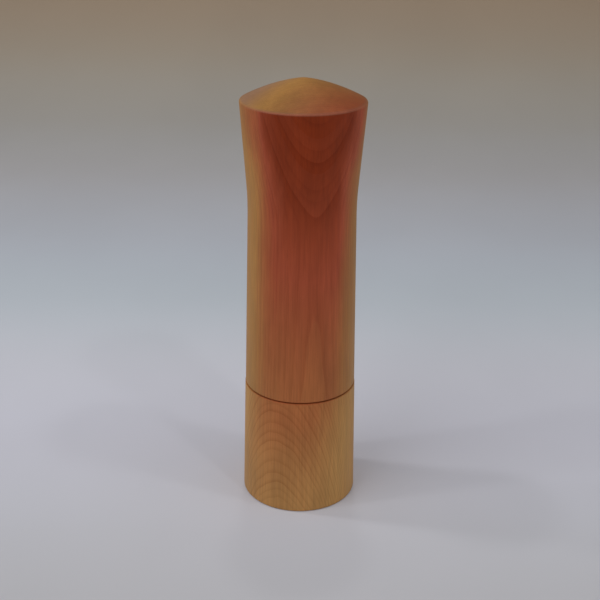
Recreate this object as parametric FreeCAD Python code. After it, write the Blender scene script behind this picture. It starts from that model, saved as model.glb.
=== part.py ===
"""A turned wooden pepper mill that is split low down, so that the base turns under a tall waisted body.

The base holds a ceramic grinder in a moulded sleeve. The body is the hand grip and the pepper store. It
drives the grinder through a toothed crown, and lifts straight off the crown to be filled. A knob under
the base screws along the spindle and sets how fine the mill grinds.

Millimetres. +Z is up and is the axis that everything is turned about. The origin is the middle of the
foot, on the surface that the mill stands on.
"""

import FreeCAD
import Part
import math
import os

V = FreeCAD.Vector
ORIGIN = V(0, 0, 0)
UP = V(0, 0, 1)

# Driving dimensions of the two wooden pieces
foot_radius = 30.0
split_height = 63.4
base_top_radius = 28.8
body_bottom_radius = 28.6
split_gap = 0.7
waist_radius = 26.9
waist_height = 163.0
waist_bend_radius = 180.0
rim_radius = 30.8
rim_height = 212.1
crest_height = 223.2
crest_bulge = 1.25
crest_nose_radius = 8.0
rim_rounding = 0.7
foot_rounding = 0.9
split_rounding = 0.35

# Fits
press_gap = 0.03
running_gap = 0.05
free_gap = 0.1

# Bores in the wood
sleeve_bore_radius = 19.1
foot_recess_radius = 24.2
foot_recess_depth = 12.0
socket_bore_radius = 22.1
socket_depth = 12.5
store_radius = 14.0
store_top = 188.0
bore_mouth_width = 0.7
bore_mouth_depth = 0.7
pilot_spare = 0.5

# Grinder sleeve and what it holds
sleeve_radius = 19.0
sleeve_flange_radius = 24.0
sleeve_flange_thickness = 2.5
sleeve_top = 57.0
sleeve_wide_bore = 17.0
sleeve_narrow_bore = 15.8
sleeve_mouth_chamfer = 0.6
burr_ledge_height = 27.0
spider_ledge_height = 42.0
stator_key_width = 3.0
stator_key_depth = 1.0
retainer_bore = 14.4
retainer_notches = 3
retainer_notch_side = 2.0
retainer_notch_depth = 1.2
spider_top = 50.0
spider_hub_radius = 7.2
spider_hub_bottom = 44.0
arm_width = 3.2
arm_count = 3
arm_start_angle = 60.0
thrust_washer_thickness = 0.8

# Burrs. The rotor's cone and the stator's lower cone face each other across burr_gap
burr_gap = 0.45
rotor_bottom = 11.0
rotor_bottom_radius = 13.5
rotor_top_radius = 7.0
rotor_bore_radius = 5.6
rotor_key_width = 2.4
rotor_key_depth = 1.0
throat_height = 17.0
throat_mouth_radius = 13.4
rotor_flutes = 6
rotor_flute_half_width = 1.7
rotor_flute_depth = 1.05
rotor_flute_lean = 18.0
stator_flutes = 9
stator_flute_half_width = 2.2
stator_flute_depth = 1.5
fine_teeth = 24
fine_tooth_half_width = 0.7
fine_tooth_depth = 0.5
wedge_overrun = 0.1
wedge_back = 0.6

# Spindle, knob and spring
spindle_side = 5.0
spindle_corner_radius = 3.6
spindle_end_radius = 3.0
spindle_end_chamfer = 0.6
spindle_washer_bore = 3.7
spindle_thread_radius = 2.45
thread_end_chamfer = 0.5
spindle_bottom = 3.4
spindle_square_bottom = 10.0
knob_radius = 9.0
knob_bottom = 2.6
knob_top = 9.0
knob_grips = 10
knob_grip_radius = 1.7
knob_grip_inset = 0.7
knob_web = 1.6
knob_chamfer = 0.8
knob_boss_radius = 5.2
knob_boss_height = 0.7
click_washer_thickness = 0.4
click_washer_radius = 8.2
click_slot_inner = 6.0
click_slot_outer = 7.0
click_slot_degrees = 44.0
click_tongues = 3
hub_flange_radius = 8.8
hub_top = 26.8
spring_mean_radius = 4.75
spring_wire_radius = 0.45
spring_turns = 6
spring_points_per_turn = 16
spring_washer_thickness = 0.6
spring_washer_radius = 6.4

# Crown and the socket that it drives
crown_journal_radius = 5.0
crown_journal_bottom = 41.5
crown_hub_radius = 7.0
crown_hub_top = 62.0
crown_ring_bottom = 58.5
crown_ring_top = 73.8
crown_ring_inner = 15.8
crown_ring_radius = 18.6
crown_arm_thickness = 3.5
crown_ring_chamfer = 0.8
crown_washer_radius = 4.4
crown_washer_thickness = 0.6
crown_notches = 6
notch_depth = 3.2
notch_degrees = 22.0
friction_ring_height = 68.5
friction_ring_section = 0.9
friction_ring_middle = 18.05
clip_groove_radius = 4.3
clip_thickness = 0.7
clip_drop = 0.4
clip_radius = 6.6
clip_mouth = 6.0
clip_relief_radius = 1.1
clip_relief_angle = 100.0
socket_bore = 19.0
socket_radius = 22.05
socket_lip_thickness = 2.5
socket_lip_inner = 14.3
dog_length = 2.9
dog_degrees = 20.0
dog_inset = 0.2
dog_setback = 0.9
socket_mouth_chamfer = 0.6
socket_mouth_setback = 0.3

# Screws
screw_count = 3
wood_screw_radius = 1.2
wood_screw_head_radius = 2.1
wood_screw_head_depth = 1.2
wood_screw_length = 11.0
wood_pilot_radius = 0.95
sleeve_screw_circle = 21.5
socket_screw_circle = 17.0
machine_screw_radius = 1.45
machine_screw_length = 9.0
machine_screw_head_radius = 2.8
machine_screw_head_height = 2.0
machine_screw_head_side = 1.1
driver_cross_width = 0.5
driver_cross_depth = 0.9
driver_cross_share = 0.6

foot_recess_top = foot_recess_depth
sleeve_bottom = foot_recess_top - sleeve_flange_thickness
body_bottom = split_height + split_gap
socket_top = body_bottom + socket_depth
lip_bottom = socket_top - socket_lip_thickness
rotor_slope = (rotor_bottom_radius - rotor_top_radius) / (burr_ledge_height - rotor_bottom)


def at(radius, height):
    """A point of an outline, which lies in the XZ plane."""
    return V(radius, 0, height)


def revolved(edges):
    """The solid that a closed outline sweeps when it turns once about the axis."""
    face = Part.Face(Part.Wire(Part.__sortEdges__(edges)))
    return face.revolve(ORIGIN, UP, 360)


def lines(*points):
    """Straight edges through these outline points."""
    return [Part.LineSegment(at(*a), at(*b)).toShape() for a, b in zip(points, points[1:])]


def turned(*points):
    """A turned solid whose outline is these points, joined by straight lines and closed."""
    return revolved(lines(*points, points[0]))


def disc(radius, bottom, top):
    return Part.makeCylinder(radius, top - bottom, V(0, 0, bottom))


def tube(inner, outer, bottom, top):
    return disc(outer, bottom, top).cut(disc(inner, bottom, top))


def square_bar(side, bottom, top):
    return Part.makeBox(side, side, top - bottom, V(-side / 2, -side / 2, bottom))


def around(shape, count, start=0.0):
    """count copies of a shape, evenly spaced about the axis, the first one turned by start degrees."""
    copies = []
    for i in range(count):
        copy = shape.copy()
        copy.rotate(ORIGIN, UP, start + 360.0 * i / count)
        copies.append(copy)
    return copies


def sector(inner, outer, bottom, top, degrees):
    """A piece of a tube, centred on +X."""
    piece = Part.makeCylinder(outer, top - bottom, V(0, 0, bottom), UP, degrees)
    piece = piece.cut(disc(inner, bottom, top))
    piece.rotate(ORIGIN, UP, -degrees / 2)
    return piece


def round_edges(solid, radius, places):
    """Rounds the circular edges that run through the given outline places."""
    circles = [e for e in solid.Edges if not e.Degenerated and isinstance(e.Curve, Part.Circle)]
    chosen = []
    for edge in circles:
        for place_radius, place_height in places:
            same_radius = abs(edge.Curve.Radius - place_radius) < 0.01
            if same_radius and abs(edge.Curve.Center.z - place_height) < 0.01:
                chosen.append(edge)
    return solid.makeFillet(radius, chosen)


def radial_arms(inner, outer, bottom, top):
    """The spokes between a hub and a ring, as one shape."""
    spoke = Part.makeBox(outer - inner, arm_width, top - bottom, V(inner, -arm_width / 2, bottom))
    arms = around(spoke, arm_count, arm_start_angle)
    return arms[0].fuse(arms[1:])


def wedge_along(start, end, half_width, depth, lean=0.0):
    """A V-shaped cutter that follows the outline line from start to end.

    Its keel lies that far outside the line, or inside it where the depth is negative. The lean turns it
    about its own middle, so that the cut runs slantwise round the burr.
    """
    run = at(*end) - at(*start)
    begin = at(*start) - run * wedge_overrun
    outward = V(-run.z, 0, run.x).normalize() * depth
    side = V(0, half_width, 0)
    back = begin - outward * wedge_back
    cutter = Part.Face(Part.makePolygon([back + side, back - side, begin + outward, back + side]))
    cutter = cutter.extrude(run * (1 + 2 * wedge_overrun))
    cutter.rotate(at(*start) + run * 0.5, outward, lean)
    return cutter


def wood_screw(circle, head_height):
    """A countersunk screw that points up, with a pointed end and a cross in its head."""
    tip = head_height + wood_screw_length
    screw = turned(
        (0, head_height),
        (wood_screw_head_radius, head_height),
        (wood_screw_radius, head_height + wood_screw_head_depth),
        (wood_screw_radius, tip - 2 * wood_screw_radius),
        (0, tip),
    )
    screw = cross_cut(screw, head_height, wood_screw_head_radius, 1)
    screw.translate(V(circle, 0, 0))
    return screw


def cross_cut(screw, face_height, head_radius, direction):
    """Cuts the driver's cross into a screw's head. direction is 1 where the cross is cut upwards."""
    reach = driver_cross_share * head_radius
    bottom = face_height if direction > 0 else face_height - driver_cross_depth
    corner = V(-reach, -driver_cross_width / 2, bottom)
    slot = Part.makeBox(2 * reach, driver_cross_width, driver_cross_depth, corner)
    other = slot.copy()
    other.rotate(ORIGIN, UP, 90)
    return screw.cut(slot.fuse(other))


def screw_holes(circle, face_height, pilot_radius, pilot_top):
    """The countersinks and holes that a ring of wood screws goes into."""
    hole = turned(
        (0, face_height - free_gap),
        (wood_screw_head_radius + free_gap, face_height - free_gap),
        (wood_screw_radius + free_gap, face_height + wood_screw_head_depth),
        (pilot_radius, face_height + wood_screw_head_depth + free_gap),
        (pilot_radius, pilot_top),
        (0, pilot_top),
    )
    hole.translate(V(circle, 0, 0))
    return hole


def base_body():
    """The wooden base: a tapering drum, bored right through, with a recess for the grinder's flange."""
    drum = turned((0, 0), (foot_radius, 0), (base_top_radius, split_height), (0, split_height))
    drum = round_edges(drum, foot_rounding, [(foot_radius, 0)])
    drum = round_edges(drum, split_rounding, [(base_top_radius, split_height)])
    drum = drum.cut(disc(sleeve_bore_radius, 0, split_height))
    drum = drum.cut(disc(foot_recess_radius, 0, foot_recess_top))
    mouth = turned(
        (sleeve_bore_radius, split_height - bore_mouth_depth),
        (sleeve_bore_radius + bore_mouth_width, split_height),
        (sleeve_bore_radius, split_height),
    )
    drum = drum.cut(mouth)
    pilot = disc(wood_pilot_radius, foot_recess_top - 1, sleeve_bottom + wood_screw_length + pilot_spare)
    pilot.translate(V(sleeve_screw_circle, 0, 0))
    return drum.cut(around(pilot, screw_count))


def body_outline():
    """The outside of the wooden body, from the split up to the crest, with the waist as one arc."""
    low = at(body_bottom_radius, body_bottom)
    waist = at(waist_radius, waist_height)
    rim = at(rim_radius, rim_height)
    down = (low - waist).normalize()
    up = (rim - waist).normalize()
    bend = math.pi - down.getAngle(up)
    reach = waist_bend_radius * math.tan(bend / 2)
    start = waist + down * reach
    end = waist + up * reach
    sagitta = waist_bend_radius * (1 / math.cos(bend / 2) - 1)
    middle = waist + (down + up).normalize() * sagitta
    edges = [
        Part.LineSegment(low, start).toShape(),
        Part.Arc(start, middle, end).toShape(),
        Part.LineSegment(end, rim).toShape(),
    ]
    return edges + crest_outline(rim)


def crest_outline(rim):
    """The shallow domed cone on top: a bulged flank, and a small round nose where it meets the axis."""
    run = rim.x
    rise = crest_height - rim.z
    chord = math.hypot(run, rise)
    flank_radius = (chord**2 / 4 + crest_bulge**2) / (2 * crest_bulge)
    tip_slope = math.atan2(rise, run) - math.asin(chord / 2 / flank_radius)
    nose_reach = crest_nose_radius * math.sin(tip_slope)
    joint = at(nose_reach, crest_height - nose_reach * math.tan(tip_slope))

    def nose(angle):
        drop = crest_nose_radius * (math.cos(angle) - math.cos(tip_slope))
        return at(crest_nose_radius * math.sin(angle), joint.z + drop)

    middle = (rim + joint) * 0.5 + V(rise, 0, run).normalize() * crest_bulge
    return [
        Part.Arc(rim, middle, joint).toShape(),
        Part.Arc(joint, nose(tip_slope / 2), nose(0)).toShape(),
    ]


def upper_body():
    """The wooden body: hand grip outside, pepper store inside, and a recess below for the socket."""
    outside = body_outline()
    top = min(outside[-1].Vertexes, key=lambda v: v.X).Point
    edges = outside + [
        Part.LineSegment(top, at(0, body_bottom)).toShape(),
        Part.LineSegment(at(0, body_bottom), at(body_bottom_radius, body_bottom)).toShape(),
    ]
    body = revolved(edges)
    body = round_edges(body, rim_rounding, [(rim_radius, rim_height)])
    body = round_edges(body, split_rounding, [(body_bottom_radius, body_bottom)])
    store = disc(store_radius, body_bottom, store_top).fuse(
        Part.makeSphere(store_radius, V(0, 0, store_top))
    )
    body = body.cut(store.removeSplitter()).cut(disc(socket_bore_radius, body_bottom, socket_top))
    screw_top = lip_bottom + wood_screw_length + pilot_spare
    pilot = disc(wood_pilot_radius, socket_top - 1, screw_top)
    pilot.translate(V(socket_screw_circle, 0, 0))
    return body.cut(around(pilot, screw_count))


def grinder_sleeve():
    """The moulded sleeve in the base: a flange for the screws, and ledges for the burr and the spider."""
    sleeve = turned(
        (sleeve_wide_bore, sleeve_bottom),
        (sleeve_flange_radius, sleeve_bottom),
        (sleeve_flange_radius, foot_recess_top - press_gap),
        (sleeve_radius, foot_recess_top - press_gap),
        (sleeve_radius, sleeve_top),
        (sleeve_wide_bore + sleeve_mouth_chamfer, sleeve_top),
        (sleeve_wide_bore, sleeve_top - sleeve_mouth_chamfer),
        (sleeve_wide_bore, spider_ledge_height),
        (sleeve_narrow_bore, spider_ledge_height),
        (sleeve_narrow_bore, burr_ledge_height),
        (sleeve_wide_bore, burr_ledge_height),
    )
    sleeve = sleeve.fuse(around(stator_key(press_gap), 2, 90))
    holes = screw_holes(sleeve_screw_circle, sleeve_bottom, wood_screw_radius + free_gap, foot_recess_top + 1)
    return sleeve.cut(around(holes, screw_count))


def stator_key(slack):
    """A rib inside the sleeve that stops the stator turning. More slack makes a smaller rib."""
    width = stator_key_width - 2 * slack
    reach = stator_key_depth - slack
    start = sleeve_wide_bore - reach
    tall = burr_ledge_height - foot_recess_top
    return Part.makeBox(reach + 1, width, tall, V(start, -width / 2, foot_recess_top))


def stator_burr():
    """The fixed ceramic ring: coarse slanting teeth in a wide mouth, then fine teeth at the narrow throat."""
    outer = sleeve_wide_bore - press_gap
    bottom = foot_recess_top + press_gap
    top = burr_ledge_height - press_gap
    lower_edge = (rotor_radius(bottom) + burr_gap, bottom)
    throat = (rotor_radius(throat_height) + burr_gap, throat_height)
    mouth = (throat_mouth_radius, top)
    ring = turned(lower_edge, (outer, bottom), (outer, top), mouth, throat)
    flute = wedge_along(mouth, (throat[0], throat_height - 1), stator_flute_half_width, stator_flute_depth)
    fine = wedge_along(throat, lower_edge, fine_tooth_half_width, fine_tooth_depth)
    ring = ring.cut(around(flute, stator_flutes)).cut(around(fine, fine_teeth))
    return ring.cut(around(stator_key(0), 2, 90))


def rotor_radius(height):
    return rotor_bottom_radius - rotor_slope * (height - rotor_bottom)


def rotor_burr():
    """The turning ceramic cone, with deep slanting flutes above and fine teeth at its wide end."""
    top = burr_ledge_height
    cone = turned(
        (rotor_bore_radius, rotor_bottom),
        (rotor_bottom_radius, rotor_bottom),
        (rotor_top_radius, top),
        (rotor_bore_radius, top),
    )
    flute_end = (rotor_radius(throat_height - 2), throat_height - 2)
    flute = wedge_along(
        (rotor_top_radius, top), flute_end, rotor_flute_half_width, -rotor_flute_depth, rotor_flute_lean
    )
    fine_start = (rotor_radius(throat_height), throat_height)
    fine_end = (rotor_bottom_radius, rotor_bottom)
    fine = wedge_along(fine_start, fine_end, fine_tooth_half_width, -fine_tooth_depth)
    cone = cone.cut(around(flute, rotor_flutes)).cut(around(fine, fine_teeth))
    return cone.cut(rotor_keys(press_gap))


def rotor_keys(slack):
    """Two ribs on the hub that turn the rotor. More slack makes bigger ribs, to cut the rotor's slots."""
    width = rotor_key_width + 2 * slack
    rib = Part.makeBox(
        rotor_bore_radius + rotor_key_depth + slack,
        width,
        burr_ledge_height - rotor_bottom,
        V(0, -width / 2, rotor_bottom),
    )
    ribs = around(rib, 2)
    return ribs[0].fuse(ribs[1:])


def rotor_hub():
    """The moulded hub inside the rotor. It slides on the square spindle and rests on the knob."""
    flange_bottom = knob_top + click_washer_thickness
    hub = disc(rotor_bore_radius - press_gap, flange_bottom, hub_top)
    ribs = rotor_keys(0).common(disc(rotor_bore_radius + rotor_key_depth, rotor_bottom, hub_top))
    flange = disc(hub_flange_radius, flange_bottom, rotor_bottom - press_gap)
    hub = hub.fuse([ribs, flange])
    return hub.cut(square_bar(spindle_side + 2 * free_gap, 0, hub_top + 1)).removeSplitter()


def stator_retainer():
    """The ring that holds the stator up against its ledge, with three notches for a pin spanner."""
    ring = tube(retainer_bore, sleeve_wide_bore - press_gap, sleeve_bottom, foot_recess_top)
    side = retainer_notch_side
    corner = V(retainer_bore - side, -side / 2, sleeve_bottom)
    notch = Part.makeBox(2 * side, side, retainer_notch_depth, corner)
    return ring.cut(around(notch, retainer_notches, 30))


def bearing_spider():
    """The three-armed bridge across the sleeve, with the bearing that the crown turns in."""
    rim = tube(sleeve_narrow_bore, sleeve_wide_bore - press_gap, spider_ledge_height + press_gap, spider_top)
    arms = radial_arms(spider_hub_radius - 0.5, sleeve_narrow_bore + 0.4, spider_hub_bottom + 1, spider_top)
    hub = disc(spider_hub_radius, spider_hub_bottom, spider_top)
    spider = rim.fuse([arms, hub]).removeSplitter()
    return spider.cut(disc(crown_journal_radius + running_gap, 0, spider_top + 1))


def thrust_washer():
    bottom = spider_top
    return tube(crown_journal_radius + free_gap, spider_hub_radius, bottom, bottom + thrust_washer_thickness)


def drive_crown():
    """The toothed crown: a journal in the spider, three arms, and a notched ring that turns the body."""
    shoulder = spider_top + thrust_washer_thickness
    hub = turned(
        (0, crown_journal_bottom),
        (crown_journal_radius, crown_journal_bottom),
        (crown_journal_radius, shoulder),
        (crown_hub_radius, shoulder),
        (crown_hub_radius, crown_hub_top),
        (0, crown_hub_top),
    )
    groove_bottom = friction_ring_middle - friction_ring_section - running_gap
    groove_half = friction_ring_section + free_gap
    ring = turned(
        (crown_ring_inner, crown_ring_bottom),
        (crown_ring_radius - crown_ring_chamfer, crown_ring_bottom),
        (crown_ring_radius, crown_ring_bottom + crown_ring_chamfer),
        (crown_ring_radius, friction_ring_height - groove_half),
        (groove_bottom, friction_ring_height - groove_half),
        (groove_bottom, friction_ring_height + groove_half),
        (crown_ring_radius, friction_ring_height + groove_half),
        (crown_ring_radius, crown_ring_top - crown_ring_chamfer),
        (crown_ring_radius - crown_ring_chamfer, crown_ring_top),
        (crown_ring_inner, crown_ring_top),
    )
    arm_top = crown_ring_bottom + crown_arm_thickness
    arms = radial_arms(crown_hub_radius - 0.5, crown_ring_inner + 0.6, crown_ring_bottom, arm_top)
    crown = hub.fuse([ring, arms])
    notch_bottom = crown_ring_top - notch_depth
    notch = sector(crown_ring_inner - 1, crown_ring_radius + 1, notch_bottom, crown_ring_top + 1, notch_degrees)
    crown = crown.cut(around(notch, crown_notches, 30))
    crown = crown.cut(square_bar(spindle_side + 2 * press_gap, 0, crown_hub_top + 1))
    return crown.cut(clip_groove())


def clip_groove():
    top = spider_hub_bottom - clip_drop
    return tube(clip_groove_radius, crown_journal_radius + 1, top - clip_thickness - 2 * press_gap, top)


def retaining_clip():
    """The spring-steel E-clip that keeps the crown down in its bearing."""
    top = spider_hub_bottom - clip_drop - press_gap
    clip = tube(clip_groove_radius + press_gap, clip_radius, top - clip_thickness, top)
    mouth = Part.makeBox(2 * clip_radius, clip_mouth, 2, V(0, -clip_mouth / 2, top - 1))
    clip = clip.cut(mouth)
    relief = disc(clip_relief_radius, top - 1, top + 1)
    relief.translate(V(-clip_groove_radius - clip_relief_radius / 2, 0, 0))
    side = relief.copy()
    side.rotate(ORIGIN, UP, clip_relief_angle)
    other = relief.copy()
    other.rotate(ORIGIN, UP, -clip_relief_angle)
    return clip.cut([side, other])


def drive_spindle():
    """The square steel spindle: threaded below for the knob, tapped above for the crown's screw."""
    bar_top = crown_hub_top - 2 * free_gap
    bar = square_bar(spindle_side, spindle_square_bottom, bar_top)
    bar = bar.common(
        turned(
            (0, spindle_square_bottom),
            (spindle_side / 2, spindle_square_bottom),
            (spindle_corner_radius, spindle_square_bottom + 1),
            (spindle_corner_radius, bar_top - spindle_end_chamfer),
            (spindle_end_radius, bar_top),
            (0, bar_top),
        )
    )
    thread = turned(
        (0, spindle_bottom),
        (spindle_thread_radius - thread_end_chamfer, spindle_bottom),
        (spindle_thread_radius, spindle_bottom + thread_end_chamfer),
        (spindle_thread_radius, spindle_square_bottom),
        (0, spindle_square_bottom),
    )
    spindle = bar.fuse(thread).removeSplitter()
    return spindle.cut(disc(machine_screw_radius + press_gap, bar_top - machine_screw_length, bar_top + 1))


def crown_washer():
    top = crown_hub_top + crown_washer_thickness
    return tube(machine_screw_radius + free_gap, crown_washer_radius, crown_hub_top, top)


def crown_screw():
    """The pan-headed screw that clamps the crown to the top of the spindle."""
    seat = crown_hub_top + crown_washer_thickness
    head_top = seat + machine_screw_head_height
    screw = turned(
        (0, seat - machine_screw_length + 1),
        (machine_screw_radius, seat - machine_screw_length + 1),
        (machine_screw_radius, seat),
        (machine_screw_head_radius, seat),
        (machine_screw_head_radius, seat + machine_screw_head_side),
        (machine_screw_head_radius - 0.9, head_top),
        (0, head_top),
    )
    return cross_cut(screw, head_top, machine_screw_head_radius * 0.8, -1)


def friction_ring():
    """The rubber ring that grips the body's socket, so that the body doesn't fall off."""
    return Part.makeTorus(friction_ring_middle, friction_ring_section, V(0, 0, friction_ring_height))


def spring_washer(bottom):
    """A washer round the square spindle, with its underside at that height, for one end of the spring."""
    return tube(spindle_washer_bore, spring_washer_radius, bottom, bottom + spring_washer_thickness)


def grind_spring():
    """The compression spring that keeps the rotor down on the knob."""
    bottom = burr_ledge_height + spring_washer_thickness + spring_wire_radius + press_gap
    top = crown_journal_bottom - spring_washer_thickness - spring_wire_radius - press_gap
    pitch = (top - bottom) / spring_turns
    points = []
    for i in range(spring_turns * spring_points_per_turn + 1):
        turn = i / spring_points_per_turn
        angle = 2 * math.pi * turn
        across = V(math.cos(angle), math.sin(angle), 0) * spring_mean_radius
        points.append(across + V(0, 0, bottom + pitch * turn))
    coil = Part.BSplineCurve()
    coil.interpolate(points)
    tangent = V(0, 2 * math.pi * spring_mean_radius, pitch)
    section = Part.makeCircle(spring_wire_radius, points[0], tangent)
    return Part.Wire([coil.toShape()]).makePipeShell([Part.Wire(section)], True, True)


def click_washer():
    """The sprung washer whose three tongues click over the knob as it turns."""
    bottom = knob_top
    washer = tube(spindle_washer_bore, click_washer_radius, bottom, bottom + click_washer_thickness)
    slot = sector(click_slot_inner, click_slot_outer, bottom - 1, bottom + 1, click_slot_degrees)
    return washer.cut(around(slot, click_tongues))


def adjust_knob():
    """The knob under the base that sets the grind. It screws along the spindle."""
    knob = turned(
        (spindle_thread_radius + running_gap, knob_bottom),
        (knob_boss_radius - knob_boss_height, knob_bottom),
        (knob_boss_radius, knob_bottom + knob_boss_height),
        (knob_radius - knob_chamfer, knob_bottom + knob_boss_height),
        (knob_radius, knob_bottom + knob_boss_height + knob_chamfer),
        (knob_radius, knob_top - knob_chamfer),
        (knob_radius - knob_chamfer, knob_top),
        (spindle_thread_radius + running_gap, knob_top),
    )
    scallop = disc(knob_grip_radius, knob_bottom - 1, knob_top - knob_web)
    scallop.translate(V(knob_radius + knob_grip_inset, 0, 0))
    return knob.cut(around(scallop, knob_grips))


def coupling_socket():
    """The moulded socket in the body: a bore for the friction ring, and six dogs for the crown's notches."""
    bottom = body_bottom + socket_mouth_setback
    ring = turned(
        (socket_bore + socket_mouth_chamfer, bottom),
        (socket_radius, bottom),
        (socket_radius, socket_top),
        (socket_lip_inner, socket_top),
        (socket_lip_inner, lip_bottom),
        (socket_bore, lip_bottom),
        (socket_bore, bottom + socket_mouth_chamfer),
    )
    dog_inner = crown_ring_inner + dog_inset
    dog_outer = crown_ring_radius - dog_setback
    dog = sector(dog_inner, dog_outer, lip_bottom - dog_length, lip_bottom, dog_degrees)
    ring = ring.fuse(around(dog, crown_notches, 30)).removeSplitter()
    holes = screw_holes(socket_screw_circle, lip_bottom, wood_screw_radius + free_gap, socket_top + 1)
    return ring.cut(around(holes, screw_count))


def screws_on(circle, head_height):
    """A ring of wood screws, as one group of separate solids."""
    return Part.makeCompound(around(wood_screw(circle, head_height), screw_count))


def pieces():
    """Every sub-part of the mill by name."""
    return {
        "base_body": base_body(),
        "grinder_sleeve": grinder_sleeve(),
        "stator_burr": stator_burr(),
        "stator_retainer": stator_retainer(),
        "bearing_spider": bearing_spider(),
        "thrust_washer": thrust_washer(),
        "sleeve_screws": screws_on(sleeve_screw_circle, sleeve_bottom),
        "drive_crown": drive_crown(),
        "drive_spindle": drive_spindle(),
        "crown_washer": crown_washer(),
        "crown_screw": crown_screw(),
        "retaining_clip": retaining_clip(),
        "upper_spring_washer": spring_washer(crown_journal_bottom - spring_washer_thickness),
        "friction_ring": friction_ring(),
        "grind_spring": grind_spring(),
        "rotor_burr": rotor_burr(),
        "rotor_hub": rotor_hub(),
        "lower_spring_washer": spring_washer(burr_ledge_height),
        "click_washer": click_washer(),
        "adjust_knob": adjust_knob(),
        "upper_body": upper_body(),
        "coupling_socket": coupling_socket(),
        "coupling_screws": screws_on(socket_screw_circle, lip_bottom),
    }


def main():
    os.makedirs("parts", exist_ok=True)
    for name, shape in pieces().items():
        if not shape.isValid() or shape.Volume <= 0:
            raise RuntimeError(f"{name} isn't a good solid")
        shape.exportStep(os.path.join("parts", name + ".step"))
        print(f"{name}: {len(shape.Solids)} solid(s), {shape.Volume / 1000:.2f} cm3")


main()
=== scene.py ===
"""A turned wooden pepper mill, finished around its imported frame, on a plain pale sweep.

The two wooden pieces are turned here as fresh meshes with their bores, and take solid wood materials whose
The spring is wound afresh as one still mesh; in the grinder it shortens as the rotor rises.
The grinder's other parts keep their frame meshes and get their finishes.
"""

import math

import bmesh
import bpy
from bpy.props import FloatProperty, FloatVectorProperty, IntProperty, PointerProperty
from mathutils import Matrix, Vector


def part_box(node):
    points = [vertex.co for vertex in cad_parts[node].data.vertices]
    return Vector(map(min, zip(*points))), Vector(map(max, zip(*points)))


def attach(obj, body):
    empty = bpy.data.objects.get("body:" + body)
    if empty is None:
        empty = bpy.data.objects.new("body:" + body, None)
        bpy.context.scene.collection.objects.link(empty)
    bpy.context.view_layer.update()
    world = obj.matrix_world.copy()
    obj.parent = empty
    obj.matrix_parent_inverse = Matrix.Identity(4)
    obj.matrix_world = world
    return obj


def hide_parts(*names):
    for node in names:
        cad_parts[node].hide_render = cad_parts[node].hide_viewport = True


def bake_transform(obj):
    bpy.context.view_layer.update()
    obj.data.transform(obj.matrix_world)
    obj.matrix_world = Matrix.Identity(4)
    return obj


bl_info = {
    "name": "Turned Pepper Mill",
    "version": (1, 0, 0),
    "blender": (4, 5, 0),
    "location": "View3D > Sidebar > Mill",
    "description": "Turns the wood of a pepper mill around its frame, finishes every part and lights it",
    "category": "Object",
}

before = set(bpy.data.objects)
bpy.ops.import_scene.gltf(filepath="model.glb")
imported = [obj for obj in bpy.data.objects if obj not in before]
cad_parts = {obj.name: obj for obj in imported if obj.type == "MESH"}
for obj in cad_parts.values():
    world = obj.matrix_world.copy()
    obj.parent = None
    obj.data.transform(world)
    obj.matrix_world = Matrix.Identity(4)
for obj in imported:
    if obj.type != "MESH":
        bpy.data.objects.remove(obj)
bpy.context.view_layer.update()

MM = 0.001

# How finely the pieces are divided
SPIN_STEPS = 256
EDGE_STEPS = 4
WAIST_STEPS = 16
CREST_STEPS = 24
NOSE_STEPS = 5
STORE_END_STEPS = 12
WIRE_SIDES = 12
TURN_STEPS = 40
SWEEP_STEPS = 24

SHARP_ANGLE = math.radians(40)
MERGE_DISTANCE = 0.001 * MM
RING_SLACK = 0.01 * MM
# The crest's flank stops this many nose reaches from the axis, so that it doesn't crowd the nose
FLANK_END = 1.2

# The height over which a bent pith line eases into its bend
BEND_LENGTH = 30 * MM
# The direction of the crest's side whose end grain is red and which is painted darker as shade, while the
# opposite side is painted lighter
RED_SIDE = (0.75, -0.65, 0.0)
# The strength of the heart zone at which the wood is midwood
MIDWOOD_PLACE = 0.78

body_low, body_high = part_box("upper_body")
base_low, base_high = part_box("base_body")
_, socket_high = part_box("coupling_socket")
sleeve_low, sleeve_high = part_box("grinder_sleeve")
seam_height = (base_high.z + body_low.z) / 2


def length(name, description, value, smallest=0.0):
    """A size property in metres, given in millimetres."""
    return FloatProperty(name=name, description=description, default=value * MM, min=smallest, unit="LENGTH")


def colour(name, description, value):
    """A colour property, in linear red, green and blue."""
    return FloatVectorProperty(
        name=name, description=description, default=value, size=3, min=0.0, max=1.0, subtype="COLOR"
    )


def strength(name, description, value):
    """A property for how strong a light is."""
    return FloatProperty(name=name, description=description, default=value, min=0.0)


def camera_angle(name, description, value):
    """An angle property, in radians."""
    return FloatProperty(name=name, description=description, default=value, subtype="ANGLE")


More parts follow.
